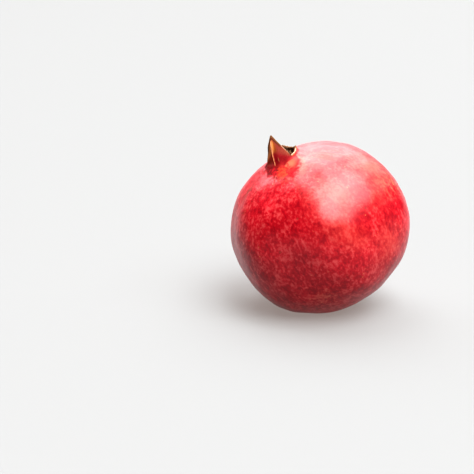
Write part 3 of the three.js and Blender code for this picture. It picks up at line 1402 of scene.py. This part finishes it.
@dataclass(frozen=True)
class StamenFinish:
    """Dry brown threads with paler fibres; the bump is its height in metres and strength."""

    thread: Colour = (0.46, 0.25, 0.13)
    dark: Colour = (0.19, 0.095, 0.050)
    pale: Colour = (0.70, 0.47, 0.29)
    patch: Grain = Grain(0.8)
    fibre: Grain = Grain(1.0, across=3.0, along=0.5)
    bump: Pair = (0.0002, 0.6)
    roughness: float = 0.82

    def make(self) -> Material:
        """Builds the material; the mark it reads is own.

        Returns:
            The material.
        """
        paint = Paint("dried_stamens")
        own = paint.mark("own")
        fibre = paint.noise(own, self.fibre)
        colour = paint.layers(
            self.dark,
            (paint.noise(own, self.patch).smooth(0.35, 0.65), self.thread),
            (fibre.smooth(0.55, 0.75) * 0.6, self.pale),
        )
        normal = paint.bump(fibre, *self.bump)
        return paint.finish(Base_Color=colour, Roughness=self.roughness, Normal=normal)


@dataclass(frozen=True)
class StamenRing:
    """A ring of stamens: how many, how far out they stand, how tall they are and how far they
    lean out on their way up."""

    count: int
    reach: float
    height: float
    lean: float


@dataclass(frozen=True)
class StamenTuft:
    """The dried stamens of the old flower, in rings on a small pad in the cup."""

    rings: tuple[StamenRing, ...] = (
        StamenRing(14, 1.4, 6.0, 0.6),
        StamenRing(24, 3.0, 6.6, 1.0),
        StamenRing(34, 4.7, 6.2, 1.1),
    )
    # The pad: where its foot is, its size, and its outline, by share of the radius and height.
    foot: float = 42.85
    pad_radius: float = 6.0
    pad_height: float = 1.1
    pad_outline: tuple[Pair, ...] = (
        (0.45, 0.0), (0.8, 0.0), (0.97, 0.05), (1.0, 0.5), (0.95, 0.9), (0.75, 1.05), (0.4, 1.1),
    )
    pad_columns: int = 40
    # The threads: where they start, how thick they are, and how they stand apart.
    root: float = 0.4
    thread: float = 0.17
    taper: float = 0.3
    head: Bell = Bell(0.23, 0.93, 0.055)
    end: float = 0.35
    twist: float = 0.37
    jitter: float = 0.08
    tall: Pair = (0.7, 1.08)
    swollen: Pair = (0.4, 1.0)
    arc: float = 0.8
    curl: float = 0.7
    sag: float = 0.12
    sway: float = 0.35
    sway_power: float = 1.6
    steps: int = 12
    sides: int = 6
    seed: int = 7
    finish: StamenFinish = StamenFinish()

    def threads(self) -> list[Lattice]:
        """Threads that rise from the rings.

        They lean out by a part of a sine and curl by the square of their length, with a swollen
        head near the end, a bell of the length.

        Returns:
            Their surfaces.
        """
        draw = np.random.default_rng(self.seed)
        t = np.linspace(0, 1, self.steps)[None, :]
        threads = []
        for ring in self.rings:
            count = ring.count
            angle = FULL_TURN * (np.arange(count) + self.twist * ring.reach) / count
            angle = (angle + draw.normal(0, self.jitter, count))[:, None]
            tall = (ring.height * draw.uniform(*self.tall, count))[:, None]
            curl = draw.uniform(-1.0, 1.0, count)[:, None]
            sway = draw.uniform(-self.sway, self.sway, count)[:, None]
            lean = ring.lean * np.sin(math.pi * t * self.arc)
            across = ring.reach + lean + self.curl * curl * t**2
            level = self.foot + self.root + tall * t * (1 - self.sag * np.abs(curl) * t)
            paths = ring_point(across, angle + sway * t**self.sway_power, level)
            head = self.head.at(t) * draw.uniform(*self.swollen, count)[:, None]
            radii = self.thread * (1 - self.taper * t) + head
            radii[:, -1] *= self.end
            threads += [tube(path, radius, self.sides) for path, radius in zip(paths, radii)]
        return threads

    def pad(self) -> Lattice:
        """The pad, its outline turned round the axis.

        Returns:
            Its surface.
        """
        share, level = np.array(self.pad_outline).T[..., None]
        around = round_about(self.pad_columns)
        rings = ring_point(self.pad_radius * share, around, self.foot + level)
        return closed(pole(self.foot), rings, pole(self.foot + self.pad_height))

    def build(self) -> Piece:
        """Builds the tuft and its pad as one piece."""
        own, faces = join([*self.threads(), self.pad()])
        return build_piece("stamen_tuft", LIE.place(own), faces, {"own": own}, self.finish.make())


@dataclass(frozen=True)
class StemFinish:
    """Grey-brown bark, and a pale cut end with a dark pith; the bump is its height in metres and
    strength."""

    bark: Colour = (0.115, 0.070, 0.038)
    bark_pale: Colour = (0.30, 0.21, 0.125)
    cut: Colour = (0.46, 0.32, 0.18)
    pith: Colour = (0.12, 0.065, 0.03)
    grain: Grain = Grain(1.0, 4.0, 0.6, across=2.4, along=0.35)
    bump: Pair = (0.0008, 0.7)
    year_rings: float = 38.0
    ring_bend: float = 4.0
    roughness: float = 0.86

    def make(self) -> Material:
        """Builds the material; the marks it reads are own and face (cut end, distance out).

        The cut end's rings are a sine of the distance out, bent by the grain.

        Returns:
            The material.
        """
        paint = Paint("woody_stem")
        own = paint.mark("own")
        cut, out, _ = paint.marks("face")
        grain = paint.noise(own, self.grain)
        bark = paint.mix(grain.smooth(0.40, 0.66), self.bark, self.bark_pale)
        bent = out * self.year_rings + grain * self.ring_bend
        rings = paint.maths("SINE", bent, 0.0) * 0.5 + 0.5
        end = paint.layers(
            self.cut, (rings * 0.45, self.bark_pale), (out.smooth(0.24, 0.12), self.pith)
        )
        colour = paint.mix(cut, bark, end)
        normal = paint.bump(grain, *self.bump)
        return paint.finish(Base_Color=colour, Roughness=self.roughness, Normal=normal)


@dataclass(frozen=True)
class StemStub:
    """The short woody stub that is left at the stem end."""

    radius: float = 3.05
    taper: float = 0.09
    root: float = -44.35
    end: float = -51.1
    dome: float = 0.28
    ridges: Ripples = ((0.05, 5, math.pi / 2), (0.02, 13, 2.0), (0.012, 29, 0.0))
    bark: Wave = Wave(0.06, 2.6, 9)
    saw: Wave = Wave(0.05, 1.8, 10)
    rows: int = 26
    sides: int = 72
    cut_rings: tuple[float, ...] = (0.97, 0.9, 0.7, 0.5, 0.3, 0.15)
    finish: StemFinish = StemFinish()

    def build(self) -> Piece:
        """Builds the stub.

        It is a tube whose radius swells with ripples of the angle, as bark does, and an uneven
        cut end, domed by dome (1 - out^2).

        Returns:
            The piece.
        """
        angle = -round_about(self.sides)
        share = np.linspace(0, 1, self.rows)[:, None]
        radius = self.radius * (1 - self.taper * share + ripple(angle, self.ridges))
        side = ring_point(radius, angle, lerp(self.root, self.end, share))
        side = side + self.bark.at(side)[..., None] * unit(side * [1, 1, 0])
        out = np.array(self.cut_rings)[:, None]
        cut = ring_point(radius[-1:] * out, angle, self.end - self.dome * (1 - out**2))
        cut = cut + self.saw.at(cut)[..., None] * np.array([0, 0, 1.0])
        lattice = Lattice()
        lattice.add(pole(self.root), face=NONE)
        lattice.add(side, face=NONE)
        lattice.add(cut, face=(1.0, out, 0.0))
        lattice.add(pole(self.end - self.dome), face=(1.0, 0.0, 0.0))
        own, marks = lattice.flat()
        marks["own"] = own
        return build_piece("stem_stub", LIE.place(own), lattice.faces(), marks, self.finish.make())


# ---- the studio


@dataclass(frozen=True)
class View:
    """The camera: how far above the horizon it looks from, how far off, its lens and sensor, and
    how far left of and below the fruit's middle it aims."""

    elevation: float = math.radians(15.0)
    distance: float = 0.85
    lens: float = 111.04
    sensor: float = 36.0
    left: float = 0.04767
    below: float = 0.00628

    def build(self) -> None:
        """Adds the camera."""
        ce, se = math.cos(self.elevation), math.sin(self.elevation)
        back, up = np.array([0.0, -ce, se]), np.array([0.0, se, ce])
        middle = np.array(LIE.centre) / MILLIMETRES
        aim = middle - self.left * np.array([1.0, 0, 0]) - self.below * up
        camera = bpy.data.cameras.new("camera")
        camera.lens = self.lens
        camera.sensor_width = self.sensor
        holder = add_object("camera", camera)
        holder.location = aim + self.distance * back
        holder.rotation_euler = (math.pi / 2 - self.elevation, 0.0, 0.0)
        bpy.context.scene.camera = holder


@dataclass(frozen=True)
class Softbox:
    """A wide soft light that hangs level and shines down: its middle, its size, how bright its
    face is, how far it is turned about the vertical and how high it hangs."""

    name: str
    middle: Pair
    size: Pair
    brightness: float
    turn: float = 0.0
    height: float = 6.0

    def build(self) -> None:
        """Adds the light; its power is brightness times area times pi."""
        lamp = bpy.data.lights.new(self.name, "AREA")
        lamp.shape = "RECTANGLE"
        lamp.size, lamp.size_y = self.size
        lamp.energy = self.brightness * self.size[0] * self.size[1] * math.pi
        holder = add_object(self.name, lamp)
        holder.location = (*self.middle, self.height)
        holder.rotation_euler = (0.0, 0.0, math.radians(self.turn))


@dataclass(frozen=True)
class Paper:
    """A sheet of pale paper that lies flat as a floor and sweeps up far behind."""

    half_width: float = 7.0
    front: float = -7.0
    bend: float = 5.0
    bend_radius: float = 0.9
    bend_points: int = 13
    height: float = 0.3
    colour: Colour = (0.130, 0.140, 0.144)
    glow_colour: Colour = (1.0, 0.88, 0.83)
    glow: float = 0.251

    def build(self) -> Piece:
        """Builds the sheet: a flat run, a quarter circle and a straight rise, carried across.

        Returns:
            The piece.
        """
        turn = np.linspace(0, math.pi / 2, self.bend_points)
        along = np.concatenate([[self.front], self.bend + self.bend_radius * np.sin(turn)])
        level = np.concatenate([[0.0], self.bend_radius * (1 - np.cos(turn))])
        along, level = np.append(along, along[-1]), np.append(level, level[-1] + self.height)
        left = np.stack([np.full_like(along, -self.half_width), along, level], 1)
        points = np.concatenate([left, left * [-1, 1, 1]])
        k, n = np.arange(len(along) - 1), len(along)
        faces = np.stack([k, k + n, k + n + 1, k + 1], 1).tolist()
        paper = Paint("pale_paper").finish(
            Base_Color=self.colour,
            Roughness=1.0,
            Specular_IOR_Level=0.0,
            Emission_Color=self.glow_colour,
            Emission_Strength=self.glow,
        )
        return build_piece("paper_sweep", points * MILLIMETRES, faces, {}, paper)


@dataclass(frozen=True)
class Studio:
    """Camera, lights and floor."""

    view: View = View()
    lights: tuple[Softbox, ...] = (
        Softbox("front_softbox", (1.9, -3.9), (4.1, 8.0), 9.2),
        Softbox("front_fringe", (4.2, -4.3), (8.0, 7.4), 4.6),
        Softbox("back_softbox", (-0.7, 3.3), (3.3, 6.6), 5.2),
        Softbox("back_fringe", (1.1, 4.6), (7.4, 8.8), 3.2),
        Softbox("far_softbox", (0.3, 16.0), (10.0, 30.0), 2.0),
        Softbox("left_strip", (-5.2, 8.0), (6.0, 11.0), 3.9, turn=28.0),
        Softbox("right_fringe", (9.6, 10.0), (8.6, 20.0), 1.05),
    )
    room: float = 0.05
    paper: Paper = Paper()

    def build(self) -> None:
        """Adds the camera, the lights, the room and the floor; the floor is not put on the body."""
        self.view.build()
        for light in self.lights:
            light.build()
        scene = bpy.context.scene
        scene.view_settings.view_transform = "Standard"
        scene.view_settings.look = "High Contrast"
        world = bpy.data.worlds.new("room")
        world.use_nodes = True
        background = world.node_tree.nodes["Background"]
        background.inputs["Color"].default_value = (1, 1, 1, 1)
        background.inputs["Strength"].default_value = self.room
        scene.world = world
        self.paper.build()


# ---- the whole


def attach(piece: Piece, node: Node) -> None:
    """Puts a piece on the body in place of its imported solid, and reports it.

    Args:
        piece: the visible piece.
        node: the solid that it stands for.
    """
    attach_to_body(piece, BODY)
    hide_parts(node.value)
    triangles = sum(len(p.vertices) - 2 for p in piece.data.polygons)
    log.info("%s stands for %s, with %d triangles", piece.name, node.value, triangles)


def main() -> None:
    """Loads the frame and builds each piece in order."""
    logging.basicConfig(level=logging.INFO, format="%(name)s: %(message)s")
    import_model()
    Studio().build()
    attach(Rind().build(), Node.FRUIT)
    attach(StamenTuft().build(), Node.STAMENS)
    attach(StemStub().build(), Node.STEM)
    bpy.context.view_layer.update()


if __name__ == "__main__":
    main()
